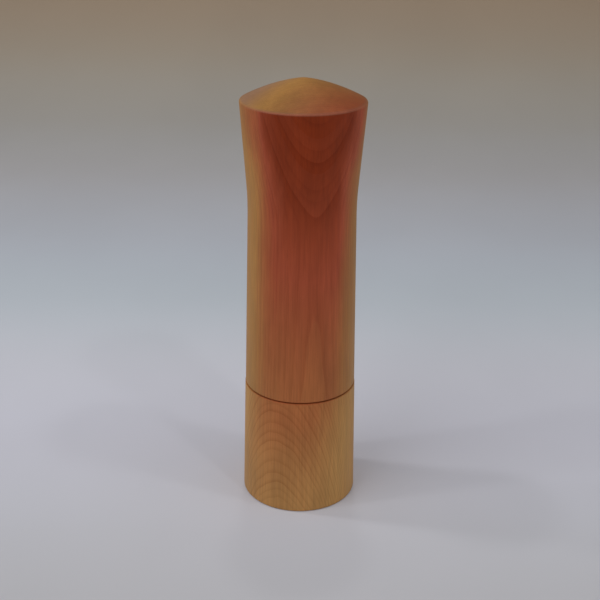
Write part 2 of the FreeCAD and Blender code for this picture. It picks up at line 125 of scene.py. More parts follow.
class MillShape(bpy.types.PropertyGroup):
    """Sizes of the two turned pieces and of the spring."""

    foot_radius: length("Foot radius", "Radius of the base where it stands", 30.0)
    base_top_radius: length("Base top radius", "Radius of the base at the split", 28.8)
    body_bottom_radius: length("Body bottom radius", "Radius of the body at the split", 28.6)
    waist_radius: length("Waist radius", "Where the body's two straight flanks would meet", 26.9)
    waist_height: length("Waist height", "Height of the narrowest place", 163.0)
    waist_bend: length("Waist bend", "Radius of the curve that joins the flanks at the waist", 180.0)
    rim_radius: length("Rim radius", "Radius of the flared rim", 30.8)
    rim_height: length("Rim height", "Height of the rim's edge", 212.1)
    crest_bulge: length("Crest bulge", "How far the crest's flank bows out from a straight cone", 1.25)
    crest_nose: length("Crest nose", "Radius of the small round nose on top", 8.0)
    store_radius: length("Store radius", "Radius of the bore that holds the peppercorns", 14.0)
    store_height: length("Store height", "Where the bore's round end begins", 188.0)
    bore_clearance: length("Bore clearance", "Room between a moulded part and its bore", 0.05)
    recess_clearance: length("Recess clearance", "Room round the grinder's flange", 0.2)
    flange_thickness: length("Flange thickness", "Height of the grinder's flange in the recess", 2.5)
    sleeve_bore: length("Sleeve bore", "Radius of the base's through bore", 19.1)
    mouth_flare: length("Mouth flare", "How far the top of that bore opens out", 0.7)
    mouth_depth: length("Mouth depth", "How deep that opening out is", 0.7)
    foot_edge: length("Foot edge", "Rounding of the foot", 0.9)
    split_edge: length("Split edge", "Rounding of the two edges at the split", 0.35)
    rim_edge: length("Rim edge", "Rounding of the rim", 0.54)
    bore_edge: length("Bore edge", "Rounding of the bores' edges", 0.25)
    spring_wire: length("Spring wire", "Radius of the spring's wire", 0.45)
    spring_turns: IntProperty(name="Spring turns", description="Turns of the spring's wire", default=6, min=1)


class MillWood(bpy.types.PropertyGroup):
    """Colours and growth of the wood."""

    sapwood: colour("Sapwood", "Tan wood at the sides of the body", (0.487, 0.248, 0.071))
    midwood: colour("Midwood", "Pink brown wood between the two", (0.461, 0.097, 0.044))
    heartwood: colour("Heartwood", "Red wood down the front of the body", (0.259, 0.035, 0.007))
    base_wood: colour("Base wood", "Tan orange wood of the base", (0.559, 0.307, 0.102))
    base_blush: colour("Base blush", "Redder patches in the base", (0.461, 0.162, 0.056))
    # Pale colour for wear and a painted highlight on the rim's rounded edge, and for painted light on one
    # side of the crest
    highlight_and_wear_wood: colour("Highlight and wear wood", "Worn rim and sanded end grain on the crest", (0.294, 0.168, 0.116))
    bored_wood: colour("Bored wood", "Raw wood inside the bores", (0.60, 0.36, 0.19))
    late_wood: colour("Late wood", "What a year's last line multiplies oiled wood by", (0.62, 0.46, 0.38))
    bored_late_wood: colour("Bored late wood", "The same for raw wood in a bore", (0.72, 0.58, 0.48))
    pores: colour("Pores", "Short dark pores of the oiled wood", (0.16, 0.045, 0.015))
    # Painted shade: the edges along the seam are darkened where the gap between the two pieces lies in shadow
    seam_shade: colour("Grime", "Handled edges along the seam", (0.34, 0.040, 0.010))
    ring_width: length("Ring width", "Growth of the tree in one year", 1.25)


class MillFinish(bpy.types.PropertyGroup):
    """Colours of the grinder's parts."""

    black: colour("Black moulding", "Acetal of most of the grinder's mouldings", (0.018, 0.018, 0.019))
    natural: colour("Natural moulding", "Undyed acetal of the hub and the thrust washer", (0.66, 0.64, 0.57))
    ceramic: colour("Ceramic", "Fired alumina of the burrs", (0.78, 0.76, 0.69))
    steel: colour("Steel", "Stainless steel of the spindle, screws and washers", (0.58, 0.575, 0.56))
    spring: colour("Spring steel", "Steel of the clip, the click washer and the spring", (0.38, 0.37, 0.36))
    rubber: colour("Rubber", "Nitrile of the friction ring", (0.022, 0.022, 0.023))


class MillStage(bpy.types.PropertyGroup):
    """The sweep, the lights and the camera."""

    key_power: strength("Key power", "Soft light from the left, in watts", 5.9)
    fill_power: strength("Fill power", "Soft light from the right, in watts", 1.6)
    top_power: strength("Top power", "Soft light from above, in watts", 1.6)
    lamp_power: strength("Lamp power", "Each small lamp overhead, in watts", 1.0)
    room_glow: strength("Room glow", "Even light of the pale room", 0.20)
    camera_back: length("Camera back", "How far the camera stands from the mill's axis", 514.6)
    camera_up: length("Camera up", "Height of the camera", 331.4)
    camera_pitch: camera_angle("Pitch", "Camera's look down", 0.4086)
    camera_roll: camera_angle("Roll", "Camera's lean", 0.0125)
    camera_yaw: camera_angle("Yaw", "Camera's turn to the left", 0.001)
    camera_lens: FloatProperty(name="Lens", description="Focal length in millimetres", default=65.6)


class MillSettings(bpy.types.PropertyGroup):
    """Everything that a user would change."""

    shape: PointerProperty(type=MillShape)
    wood: PointerProperty(type=MillWood)
    finish: PointerProperty(type=MillFinish)
    stage: PointerProperty(type=MillStage)


# Turning


def arc_points(centre, radius, start, end, steps):
    """Outline points (radius from the axis, height) along an arc, both ends included."""
    points = []
    for i in range(steps + 1):
        angle = start + (end - start) * i / steps
        points.append((centre[0] + radius * math.cos(angle), centre[1] + radius * math.sin(angle)))
    return points


def waist_points(shape):
    """The arc that joins the body's two flanks at the waist, from its lower end to its upper end."""
    low = Vector((shape.body_bottom_radius, body_low.z))
    waist = Vector((shape.waist_radius, shape.waist_height))
    rim = Vector((shape.rim_radius, shape.rim_height))
    down = (low - waist).normalized()
    up = (rim - waist).normalized()
    half_bend = (math.pi - down.angle(up)) / 2
    centre = waist + (down + up).normalized() * shape.waist_bend / math.cos(half_bend)
    lean = (down + up).angle_signed(Vector((1, 0)))
    middle = math.pi + lean
    return arc_points(centre, shape.waist_bend, middle + half_bend, middle - half_bend, WAIST_STEPS)


def crest_points(shape):
    """The domed cone on top, from the rim's edge to the axis."""
    run = shape.rim_radius
    rise = body_high.z - shape.rim_height
    chord = math.hypot(run, rise)
    flank = (chord**2 / 4 + shape.crest_bulge**2) / (2 * shape.crest_bulge)
    chord_slope = math.atan2(rise, run)
    half_turn = math.asin(chord / 2 / flank)
    tip_slope = chord_slope - half_turn
    centre = (
        run / 2 - (flank - shape.crest_bulge) * math.sin(chord_slope),
        shape.rim_height + rise / 2 - (flank - shape.crest_bulge) * math.cos(chord_slope),
    )
    middle = math.pi / 2 - chord_slope
    nose_reach = shape.crest_nose * math.sin(tip_slope)
    points = arc_points(centre, flank, middle - half_turn, middle + half_turn, CREST_STEPS)
    flank_points = [point for point in points if point[0] > nose_reach * FLANK_END]
    tip = body_high.z - nose_reach * math.tan(tip_slope) + shape.crest_nose * (1 - math.cos(tip_slope))
    nose_centre = (0, tip - shape.crest_nose)
    nose = arc_points(nose_centre, shape.crest_nose, math.pi / 2 - tip_slope, math.pi / 2, NOSE_STEPS)
    return flank_points + nose


def spun_mesh(outline, closed):
    """A bmesh turned about the Z axis from an outline of (radius, height) points."""
    bm = bmesh.new()
    verts = [bm.verts.new((radius, 0, height)) for radius, height in outline]
    pairs = list(zip(verts, verts[1:]))
    if closed:
        pairs.append((verts[-1], verts[0]))
    edges = [bm.edges.new(pair) for pair in pairs]
    bmesh.ops.spin(
        bm, geom=verts + edges, cent=(0, 0, 0), axis=(0, 0, 1),
        angle=math.tau, steps=SPIN_STEPS, use_merge=True,
    )
    bmesh.ops.remove_doubles(bm, verts=bm.verts, dist=MERGE_DISTANCE)
    bmesh.ops.recalc_face_normals(bm, faces=bm.faces)
    return bm


def soften_ring(bm, radius, height, width):
    """Rounds the circular edge at that place of the outline."""

    def on_ring(vert):
        return abs(vert.co.z - height) < RING_SLACK and abs(vert.co.xy.length - radius) < RING_SLACK

    ring = [edge for edge in bm.edges if all(on_ring(vert) for vert in edge.verts)]
    if not ring:
        raise RuntimeError(f"no edge at radius {radius:.4f}, height {height:.4f}")
    bmesh.ops.bevel(
        bm, geom=ring, offset=width, offset_type="OFFSET", segments=EDGE_STEPS, profile=0.5, affect="EDGES",
        material=-1,
    )


def wound_mesh(low, high, wire_radius, turns):
    """A bmesh of round wire wound about the Z axis, between the corners low and high of the spring's box."""
    bm = bmesh.new()
    place = Matrix.Translation((high.x - wire_radius, 0, low.z + wire_radius))
    upright = Matrix.Rotation(math.pi / 2, 4, "X")
    bmesh.ops.create_circle(
        bm, cap_ends=True, segments=WIRE_SIDES, radius=wire_radius, matrix=place @ upright
    )
    steps = turns * TURN_STEPS
    climb = high.z - low.z - 2 * wire_radius
    bmesh.ops.spin(
        bm, geom=bm.verts[:] + bm.edges[:] + bm.faces[:], cent=(0, 0, 0), axis=(0, 0, 1),
        dvec=(0, 0, climb / steps), angle=turns * math.tau, steps=steps,
    )
    bmesh.ops.recalc_face_normals(bm, faces=bm.faces)
    return bm


def finished_object(bm, name, materials, is_bored=None):
    """An object from the bmesh, smooth but for its sharp edges. Bored faces take its second material."""
    for face in bm.faces:
        face.smooth = True
        if is_bored:
            face.material_index = 1 if is_bored(face.calc_center_median()) else 0
    mesh = bpy.data.meshes.new(name)
    bm.to_mesh(mesh)
    bm.free()
    mesh.set_sharp_from_angle(angle=SHARP_ANGLE)
    for material in materials:
        mesh.materials.append(material)
    piece = bpy.data.objects.new(name, mesh)
    bpy.context.scene.collection.objects.link(piece)
    return piece


# Shader building


def rgba(value):
    """The colour with full alpha, as sockets take it."""
    return (*value, 1.0)


class NodeDesk:
    """Adds nodes to one node tree and joins them up."""

    def __init__(self, tree):
        self.tree = tree

    def add(self, kind, sockets, **settings):
        node = self.tree.nodes.new("ShaderNode" + kind)
        for name, value in settings.items():
            setattr(node, name, value)
        for name, value in sockets.items():
            self.feed(node.inputs[name], value)
        return node

    def feed(self, socket, value):
        if isinstance(value, bpy.types.NodeSocket):
            self.tree.links.new(value, socket)
        else:
            socket.default_value = value

    def math(self, operation, first, second=0.0, clamp=False):
        return self.add("Math", {0: first, 1: second}, operation=operation, use_clamp=clamp).outputs[0]

    def vector(self, operation, first, second):
        return self.add("VectorMath", {0: first, 1: second}, operation=operation).outputs[0]

    def scaled(self, first, scale):
        return self.add("VectorMath", {0: first, "Scale": scale}, operation="SCALE").outputs[0]

    def stretched(self, vector, scale):
        return self.add("Mapping", {"Vector": vector, "Scale": scale}).outputs[0]

    def noise(self, vector, scale, detail=2.0, roughness=0.5):
        sockets = {"Vector": vector, "Scale": scale, "Detail": detail, "Roughness": roughness}
        return self.add("TexNoise", sockets).outputs

    def fade(self, value, low, high, to_low=0.0, to_high=1.0):
        """Value mapped smoothly from the range low to high onto the other range."""
        sockets = {0: value, 1: low, 2: high, 3: to_low, 4: to_high}
        return self.add("MapRange", sockets, interpolation_type="SMOOTHSTEP").outputs[0]

    def share(self, value, low, high):
        """How far the value has come from low to high, from 0 to 1."""
        return self.add("MapRange", {0: value, 1: low, 2: high}).outputs[0]

    def mix(self, factor, first, second, blend="MIX"):
        sockets = {0: factor, 6: first, 7: second}
        return self.add("Mix", sockets, data_type="RGBA", blend_type=blend).outputs[2]

    def plain(self, value):
        node = self.tree.nodes.new("ShaderNodeRGB")
        node.outputs[0].default_value = rgba(value)
        return node.outputs[0]

    def shade(self, colour_in, tone, strength):
        """The colour made lighter or darker by a tone from 0 to 1, where one half changes nothing."""
        gain = self.fade(tone, 0.0, 1.0, 1.0 - strength, 1.0 + strength)
        return self.scaled(colour_in, gain)

    def bump(self, height, distance, strength=1.0):
        return self.add("Bump", {"Height": height, "Distance": distance, "Strength": strength}).outputs[0]


def new_group(name, inputs, outputs):
    """An empty shader node group with these sockets, its desk, its input node and its output node."""
    tree = bpy.data.node_groups.new(name, "ShaderNodeTree")
    for socket_name, kind, value in inputs:
        socket = tree.interface.new_socket(socket_name, in_out="INPUT", socket_type="NodeSocket" + kind)
        if value is not None:
            socket.default_value = value
    for socket_name, kind in outputs:
        tree.interface.new_socket(socket_name, in_out="OUTPUT", socket_type="NodeSocket" + kind)
    return NodeDesk(tree), tree.nodes.new("NodeGroupInput").outputs, tree.nodes.new("NodeGroupOutput").inputs


def use_group(desk, name, sockets):
    return desk.add("Group", sockets, node_tree=bpy.data.node_groups[name]).outputs


def make_growth_rings():
    """Yearly rings round a leaning, bent pith: thin late lines of unequal strength, and a tone per year."""
    desk, given, out = new_group(
        "Growth Rings",
        [
            ("Vector", "Vector", None),
            ("Pith X", "Float", 0.0),
            ("Pith Y", "Float", 0.1),
            ("Lean X", "Float", 0.0),
            ("Lean Y", "Float", 0.0),
            ("Bend X", "Float", 0.0),
            ("Bend Y", "Float", 0.0),
            ("Bend Height", "Float", 0.0),
            ("Ring Width", "Float", 0.0012),
            ("Start", "Float", 0.0),
            ("Wander", "Float", 0.002),
        ],
        [("Line", "Float"), ("Tone", "Float")],
    )
    place = desk.add("SeparateXYZ", {"Vector": given["Vector"]}).outputs
    slow = desk.noise(desk.stretched(given["Vector"], (34, 34, 12)), 1.0, detail=2.0)["Color"]
    slow = desk.vector("SUBTRACT", slow, (0.5, 0.5, 0.5))
    quick = desk.noise(desk.stretched(given["Vector"], (190, 190, 60)), 1.0, detail=1.0)["Color"]
    quick = desk.scaled(desk.vector("SUBTRACT", quick, (0.5, 0.5, 0.5)), 0.2)
    wander = desk.scaled(desk.vector("ADD", slow, quick), given["Wander"])
    wander = desk.add("SeparateXYZ", {"Vector": wander}).outputs
    above = desk.math("SUBTRACT", place["Z"], given["Bend Height"])
    above = desk.add("Math", {0: above, 1: 0.0, 2: BEND_LENGTH}, operation="SMOOTH_MAX").outputs[0]
    across = []
    for axis in "XY":
        pith = desk.math("MULTIPLY", place["Z"], given[f"Lean {axis}"])
        pith = desk.math("ADD", pith, desk.math("MULTIPLY", above, given[f"Bend {axis}"]))
        pith = desk.math("ADD", pith, given[f"Pith {axis}"])
        offset = desk.math("ADD", desk.math("SUBTRACT", place[axis], pith), wander[axis])
        across.append(desk.math("MULTIPLY", offset, offset))
    depth = desk.math("SQRT", desk.math("ADD", *across))
    years = desk.math("ADD", desk.math("DIVIDE", depth, given["Ring Width"]), given["Start"])
    weather = desk.add("TexNoise", {"W": years, "Scale": 0.37, "Detail": 1.0}, noise_dimensions="1D")
    years = desk.math("ADD", years, weather.outputs[0])
    part = desk.math("FRACT", years)
    year = desk.math("FLOOR", years)
    tone = desk.add("TexWhiteNoise", {"W": year}, noise_dimensions="1D").outputs["Value"]
    rise = desk.fade(part, 0.30, 0.94)
    line = desk.math("MULTIPLY", desk.math("MULTIPLY", rise, rise), desk.fade(part, 0.95, 1.0, 1.0, 0.0))
    desk.feed(out["Line"], desk.math("MULTIPLY", line, desk.fade(tone, 0.0, 1.0, 0.5, 1.0)))
    desk.feed(out["Tone"], tone)


def make_wood_fibre():
    """Fibres that run up the piece: fine streaks, short dark pores and a broad cloudy figure."""
    desk, given, out = new_group(
        "Wood Fibre",
        [("Vector", "Vector", None), ("Coarseness", "Float", 1.0)],
        [("Streak", "Float"), ("Pore", "Float"), ("Figure", "Float")],
    )
    vector = desk.scaled(given["Vector"], given["Coarseness"])
    broad = desk.noise(desk.stretched(vector, (620, 620, 16)), 1.0, detail=3.0, roughness=0.6)[0]
    fine = desk.noise(desk.stretched(vector, (2300, 2300, 60)), 1.0, detail=2.0)[0]
    streak = desk.math("ADD", desk.math("MULTIPLY", broad, 0.5), desk.math("MULTIPLY", fine, 0.5))
    desk.feed(out["Streak"], desk.fade(streak, 0.30, 0.70))
    pore = desk.noise(desk.stretched(vector, (5200, 5200, 420)), 1.0, detail=1.0)[0]
    desk.feed(out["Pore"], desk.fade(pore, 0.68, 0.80))
    figure = desk.noise(desk.stretched(vector, (60, 60, 22)), 1.0, detail=3.0, roughness=0.55)[0]
    desk.feed(out["Figure"], desk.fade(figure, 0.28, 0.72))


def make_heart_zone():
    """A soft-edged red zone round an upright line, where the wood is paled by wear and painted light, and how
    bright it is made by painted light and shade.

    The zone widens, drifts and reddens towards its top. The crest's end grain shows it on one side only.
    Wear and a painted highlight pale the rim, and painted light pales one side of the crest. Painted shade
    darkens the other side, with its darker end grain, and the edges along the seam.
    """
    desk, given, out = new_group(
        "Heart Zone",
        [
            ("Vector", "Vector", None),
            ("Centre X", "Float", 0.0035),
            ("Centre Y", "Float", -0.027),
            ("Drift X", "Float", 0.0),
            ("Spread", "Float", 0.0),
            ("Flare", "Float", 0.0),
            ("Inner", "Float", 0.009),
            ("Outer", "Float", 0.031),
            ("Fade Bottom", "Float", 0.03),
            ("Fade Top", "Float", 0.175),
            ("Bottom Strength", "Float", 0.25),
            ("Rim Height", "Float", 1.0),
            ("Seam Height", "Float", 0.0),
        ],
        [("Mask", "Float"), ("Pale", "Float"), ("Grime", "Float"), ("Gain", "Float")],
    )
    place = desk.add("SeparateXYZ", {"Vector": given["Vector"]}).outputs
    streaky = desk.stretched(given["Vector"], (75, 75, 12))
    ragged = desk.noise(streaky, 1.0, detail=4.0, roughness=0.6)["Color"]
    ragged = desk.scaled(desk.vector("SUBTRACT", ragged, (0.5, 0.5, 0.5)), 12 * MM)
    ragged = desk.add("SeparateXYZ", {"Vector": ragged}).outputs
    above = desk.math("SUBTRACT", place["Z"], given["Fade Top"])
    centre = desk.math("ADD", given["Centre X"], desk.math("MULTIPLY", above, given["Drift X"]))
    east = desk.math("ADD", desk.math("SUBTRACT", place["X"], centre), ragged["X"])
    north = desk.math("ADD", desk.math("SUBTRACT", place["Y"], given["Centre Y"]), ragged["Y"])
    squares = [desk.math("MULTIPLY", part, part) for part in (east, north)]
    reach = desk.math("SQRT", desk.math("ADD", *squares))
    flare = desk.math("MULTIPLY", desk.fade(above, -25 * MM, 10 * MM), given["Flare"])
    widening = desk.math("ADD", desk.math("ADD", 1.0, desk.math("MULTIPLY", above, given["Spread"])), flare)
    zone = desk.fade(desk.math("DIVIDE", reach, widening), given["Inner"], given["Outer"], 1.0, 0.0)
    climb = desk.fade(place["Z"], given["Fade Bottom"], given["Fade Top"], given["Bottom Strength"], 1.0)
    over_rim = desk.math("SUBTRACT", place["Z"], given["Rim Height"])
    crest = desk.fade(over_rim, -0.3 * MM, 0.8 * MM)
    facing = desk.add("VectorMath", {0: given["Vector"], 1: RED_SIDE}, operation="DOT_PRODUCT")
    facing = facing.outputs["Value"]
    upright = desk.math("MULTIPLY", zone, climb)
    end_grain = desk.fade(facing, -4 * MM, 36 * MM, 0.0, 0.75)
    change = desk.math("MULTIPLY", desk.math("SUBTRACT", end_grain, upright), crest)
    desk.feed(out["Mask"], desk.math("ADD", upright, change))
    # The rim is paled partly by wear and partly as a painted highlight on its rounded edge; one side of the
    # crest is paled as painted light
    from_edge = desk.math("ABSOLUTE", desk.math("SUBTRACT", over_rim, 0.2 * MM))
    rim_wear_and_highlight = desk.fade(from_edge, 0.3 * MM, 0.8 * MM, 0.32, 0.0)
    sanded = desk.math("MULTIPLY", crest, desk.fade(facing, -18 * MM, 2 * MM, 0.8, 0.0))
    desk.feed(out["Pale"], desk.math("MAXIMUM", rim_wear_and_highlight, sanded))
    # Painted shade darkens the crest's red side by up to 30 per cent, partly for its darker end grain, and
    # painted light brightens the other side a little
    crest_shade_and_end_grain = desk.math("MULTIPLY", crest, desk.fade(facing, -20 * MM, 16 * MM, -0.08, 0.30))
    # Painted shade along the seam, where the gap between body and base lies in shadow
    from_seam = desk.math("ABSOLUTE", desk.math("SUBTRACT", place["Z"], given["Seam Height"]))
    desk.feed(out["Grime"], desk.fade(from_seam, 0.4 * MM, 0.9 * MM, 0.35, 0.0))
    desk.feed(out["Gain"], desk.math("SUBTRACT", 1.0, crest_shade_and_end_grain))


def make_fine_wear():
    """Handling marks for moulded and metal parts: a cloudy rub, hair-fine scratches and a grainy texture."""
    desk, given, out = new_group(
        "Fine Wear",
        [("Vector", "Vector", None), ("Grain Size", "Float", 0.0004)],
        [("Rub", "Float"), ("Scratch", "Float"), ("Grain", "Float")],
    )
    rub = desk.noise(given["Vector"], 160.0, detail=4.0, roughness=0.62)[0]
    desk.feed(out["Rub"], desk.fade(rub, 0.35, 0.65))
    slant = {"Vector": given["Vector"], "Rotation": (0.7, 0.4, 1.1), "Scale": (2600, 60, 900)}
    scratch = desk.noise(desk.add("Mapping", slant).outputs[0], 1.0, detail=1.0)[0]
    desk.feed(out["Scratch"], desk.fade(scratch, 0.68, 0.76))
    grain_scale = desk.math("DIVIDE", 1.0, given["Grain Size"])
    desk.feed(out["Grain"], desk.noise(given["Vector"], grain_scale, detail=1.0)[0])


def new_material(name, roughness, **principled_values):
    """A material with its desk, its object coordinates and its Principled shader."""
    material = bpy.data.materials.new(name)
    material.use_nodes = True
    desk = NodeDesk(material.node_tree)
    shader = material.node_tree.nodes["Principled BSDF"]
    shader.inputs["Roughness"].default_value = roughness
    for socket_name, value in principled_values.items():
        shader.inputs[socket_name.replace("_", " ")].default_value = value
    vector = desk.add("TexCoord", {}).outputs["Object"]
    return material, desk, vector, shader.inputs


def ringed(desk, wood, line, tint, strength):
    """The wood with the line at each year's end drawn in, where it is multiplied by the tint."""
    late = desk.mix(1.0, wood, rgba(tint), blend="MULTIPLY")
    return desk.mix(desk.math("MULTIPLY", line, strength), wood, late)


def oiled_wood(name, stock, growth, colours, zone, ring_strength):
    """Oiled, turned and sanded hardwood. colours are the outer, middle and heart wood, and a pale wood for
    rim wear and painted highlights.

    stock holds the colours that both pieces share.
    """
    material, desk, vector, shader = new_material(name, 0.5, IOR=1.45, Specular_IOR_Level=0.18)
    rings = use_group(desk, "Growth Rings", {"Vector": vector, **growth})
    fibre = use_group(desk, "Wood Fibre", {"Vector": vector})
    areas = use_group(desk, "Heart Zone", {"Vector": vector, **zone})
    yearly = desk.math("MULTIPLY", desk.math("SUBTRACT", rings["Tone"], 0.5), 0.06)
    heart = desk.math("ADD", areas["Mask"], yearly, clamp=True)
    outer, middle, inner, worn = (rgba(part) for part in colours)
    wood = desk.mix(desk.share(heart, 0.0, MIDWOOD_PLACE), outer, middle)
    wood = desk.mix(desk.share(heart, MIDWOOD_PLACE, 1.0), wood, inner)
    # Rim wear, a painted rim highlight and painted light on one side of the crest
    wood = desk.mix(areas["Pale"], wood, worn)
    # Painted shade darkens the edges along the seam
    wood = desk.mix(areas["Grime"], wood, rgba(stock.seam_shade))
    # Painted light and shade across the crest
    wood = desk.scaled(wood, areas["Gain"])
    wood = desk.shade(wood, fibre["Figure"], 0.07)
    wood = desk.shade(wood, fibre["Streak"], 0.09)
    wood = ringed(desk, wood, rings["Line"], stock.late_wood, ring_strength)
    pores = desk.math("MULTIPLY", fibre["Pore"], 0.30)
    desk.feed(shader["Base Color"], desk.mix(pores, wood, rgba(stock.pores)))
    desk.feed(shader["Roughness"], desk.fade(fibre["Streak"], 0.0, 1.0, 0.46, 0.56))
    relief = desk.math("SUBTRACT", desk.math("MULTIPLY", fibre["Streak"], 0.35), fibre["Pore"])
    relief = desk.math("ADD", relief, desk.math("MULTIPLY", rings["Line"], 0.3))
    desk.feed(shader["Normal"], desk.bump(relief, 0.03 * MM, 0.5))
    return material


def bored_wood(name, stock, growth):
    """Raw wood inside a bore: paler, dull, and lightly ridged by the drill."""
    material, desk, vector, shader = new_material(name, 0.78)
    rings = use_group(desk, "Growth Rings", {"Vector": vector, **growth})
    fibre = use_group(desk, "Wood Fibre", {"Vector": vector, "Coarseness": 0.7})
    wood = desk.shade(desk.plain(stock.bored_wood), fibre["Streak"], 0.16)
    desk.feed(shader["Base Color"], ringed(desk, wood, rings["Line"], stock.bored_late_wood, 0.5))
    height = desk.add("SeparateXYZ", {"Vector": vector}).outputs["Z"]
    ridges = desk.math("SINE", desk.math("MULTIPLY", height, 9000.0))
    torn = desk.math("ADD", desk.math("MULTIPLY", ridges, 0.25), fibre["Streak"])
    desk.feed(shader["Normal"], desk.bump(torn, 0.1 * MM, 0.5))
    return material


def moulded(name, base, roughness, grain_size, grain_depth):
    """Moulded acetal with a spark-textured skin that handling has rubbed smoother in places."""
    material, desk, vector, shader = new_material(name, roughness, IOR=1.48)
    wear = use_group(desk, "Fine Wear", {"Vector": vector, "Grain Size": grain_size})
    skin = desk.shade(desk.plain(base), wear["Rub"], 0.14)
    dusty = tuple(min(1.0, part + 0.05) for part in base)
    desk.feed(shader["Base Color"], desk.mix(desk.math("MULTIPLY", wear["Scratch"], 0.35), skin, rgba(dusty)))
    desk.feed(shader["Roughness"], desk.fade(wear["Rub"], 0.0, 1.0, roughness - 0.09, roughness + 0.07))
    desk.feed(shader["Normal"], desk.bump(wear["Grain"], grain_depth, 0.7))
    return material


def fired_ceramic(name, base):
    """Unglazed alumina: off-white, fine-grained, with grey specks and stained working faces."""
    material, desk, vector, shader = new_material(name, 0.36, IOR=1.6)
    wear = use_group(desk, "Fine Wear", {"Vector": vector, "Grain Size": 0.25 * MM})
    body = desk.shade(desk.plain(base), wear["Rub"], 0.06)
    specks = desk.noise(vector, 2600.0, detail=1.0)[0]
    body = desk.mix(desk.fade(specks, 0.70, 0.78, 0.0, 0.5), body, (0.30, 0.28, 0.25, 1.0))
    stain = desk.fade(desk.noise(vector, 210.0, detail=3.0)[0], 0.50, 0.72, 0.0, 0.28)
    desk.feed(shader["Base Color"], desk.mix(stain, body, (0.50, 0.40, 0.26, 1.0)))
    desk.feed(shader["Roughness"], desk.fade(wear["Rub"], 0.0, 1.0, 0.30, 0.46))
    desk.feed(shader["Normal"], desk.bump(wear["Grain"], 0.02 * MM, 0.6))
    return material


def drawn_steel(name, base, roughness, streaks):
    """Bright metal with fine drawing or turning lines. streaks stretches the lines along their direction."""
    material, desk, vector, shader = new_material(name, roughness, Metallic=1.0)
    wear = use_group(desk, "Fine Wear", {"Vector": vector, "Grain Size": 0.3 * MM})
    lines = desk.noise(desk.stretched(vector, streaks), 1.0, detail=2.0)[0]
    metal = desk.shade(desk.plain(base), lines, 0.12)
    desk.feed(shader["Base Color"], desk.shade(metal, wear["Rub"], 0.08))
    worn = desk.math("ADD", desk.math("MULTIPLY", lines, 0.6), desk.math("MULTIPLY", wear["Rub"], 0.4))
    desk.feed(shader["Roughness"], desk.fade(worn, 0.2, 0.8, roughness - 0.08, roughness + 0.12))
    desk.feed(shader["Normal"], desk.bump(lines, 0.01 * MM, 0.5))
    return material


def seal_rubber(name, base):
    """Black nitrile with a bloomed, slightly dusty skin."""
    material, desk, vector, shader = new_material(name, 0.62)
    wear = use_group(desk, "Fine Wear", {"Vector": vector, "Grain Size": 0.2 * MM})
    bloom = desk.mix(desk.math("MULTIPLY", wear["Rub"], 0.35), rgba(base), (0.075, 0.07, 0.065, 1.0))
    desk.feed(shader["Base Color"], bloom)
    desk.feed(shader["Roughness"], desk.fade(wear["Rub"], 0.0, 1.0, 0.52, 0.74))
    desk.feed(shader["Normal"], desk.bump(wear["Grain"], 0.02 * MM, 0.7))
    return material


def finish_nodes(material, node_names):
    """Gives the frame's own parts their material."""
    for name in node_names:
        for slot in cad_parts[name].material_slots:
            slot.material = material


def body_growth(wood):
    """The body's tree: its pith ran far behind, nearly upright, and bent backwards above the waist."""
    return {
        "Pith X": -0.036, "Pith Y": 0.145, "Lean X": -0.001, "Lean Y": 0.004,
        "Bend X": -0.021, "Bend Y": 0.134, "Bend Height": 0.166,
        "Ring Width": wood.ring_width, "Start": 0.6, "Wander": 0.0009,
    }


def base_growth(wood):
    """The base's tree: its pith ran far behind and leaned towards the front, so that the rings arch."""
    return {
        "Pith X": 0.0586, "Pith Y": 0.1395, "Lean X": -0.078, "Lean Y": -0.184,
        "Ring Width": wood.ring_width, "Start": 0.5, "Wander": 0.0022,
    }


class MILL_OT_make_shared_effects(bpy.types.Operator):
    """Build the shader node groups that the materials share"""

    bl_idname = "mill.make_shared_effects"
    bl_label = "Make Shared Effects"

    def execute(self, context):
        for make in (make_growth_rings, make_wood_fibre, make_heart_zone, make_fine_wear):
            make()
        return {"FINISHED"}


class MILL_OT_turn_upper_body(bpy.types.Operator):
    """Turn the tall body: grip outside, pepper store inside, socket recess below"""

    bl_idname = "mill.turn_upper_body"
    bl_label = "Turn Upper Body"

    def execute(self, context):
        shape = context.scene.mill.shape
        wood = context.scene.mill.wood
        socket_radius = socket_high.x + shape.bore_clearance
        store_top = shape.store_height + shape.store_radius
        store_end = arc_points((0, shape.store_height), shape.store_radius, 0.0, math.pi / 2, STORE_END_STEPS)
        store_end[-1] = (0.0, store_end[-1][1])
        outline = crest_points(shape)
        outline[-1] = (0.0, outline[-1][1])
        outline = outline[::-1] + waist_points(shape)[::-1]
        outline += [
            (shape.body_bottom_radius, body_low.z),
            (socket_radius, body_low.z),
            (socket_radius, socket_high.z),
            (shape.store_radius, socket_high.z),
        ]
        outline += store_end
        bm = spun_mesh(outline, closed=False)
        soften_ring(bm, shape.rim_radius, shape.rim_height, shape.rim_edge)
        soften_ring(bm, shape.body_bottom_radius, body_low.z, shape.split_edge)
        soften_ring(bm, socket_radius, body_low.z, shape.bore_edge)
        soften_ring(bm, shape.store_radius, socket_high.z, shape.bore_edge)

        def is_bored(centre):
            return centre.xy.length < socket_radius + MM and centre.z < store_top

        growth = body_growth(wood)
        colours = (wood.sapwood, wood.midwood, wood.heartwood, wood.highlight_and_wear_wood)
        zone = {
            "Centre X": 0.0045, "Drift X": 0.02, "Spread": 0.4, "Flare": 0.30,
            "Inner": 0.0125, "Outer": 0.0345, "Fade Top": 0.20, "Bottom Strength": 0.38,
            "Rim Height": shape.rim_height, "Seam Height": seam_height,
        }
        outside = oiled_wood("oiled_body_wood", wood, growth, colours, zone, ring_strength=0.27)
        inside = bored_wood("bored_body_wood", wood, growth)
        piece = finished_object(bm, "turned_body", [outside, inside], is_bored)
        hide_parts("upper_body")
        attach(piece, "upper")
        return {"FINISHED"}


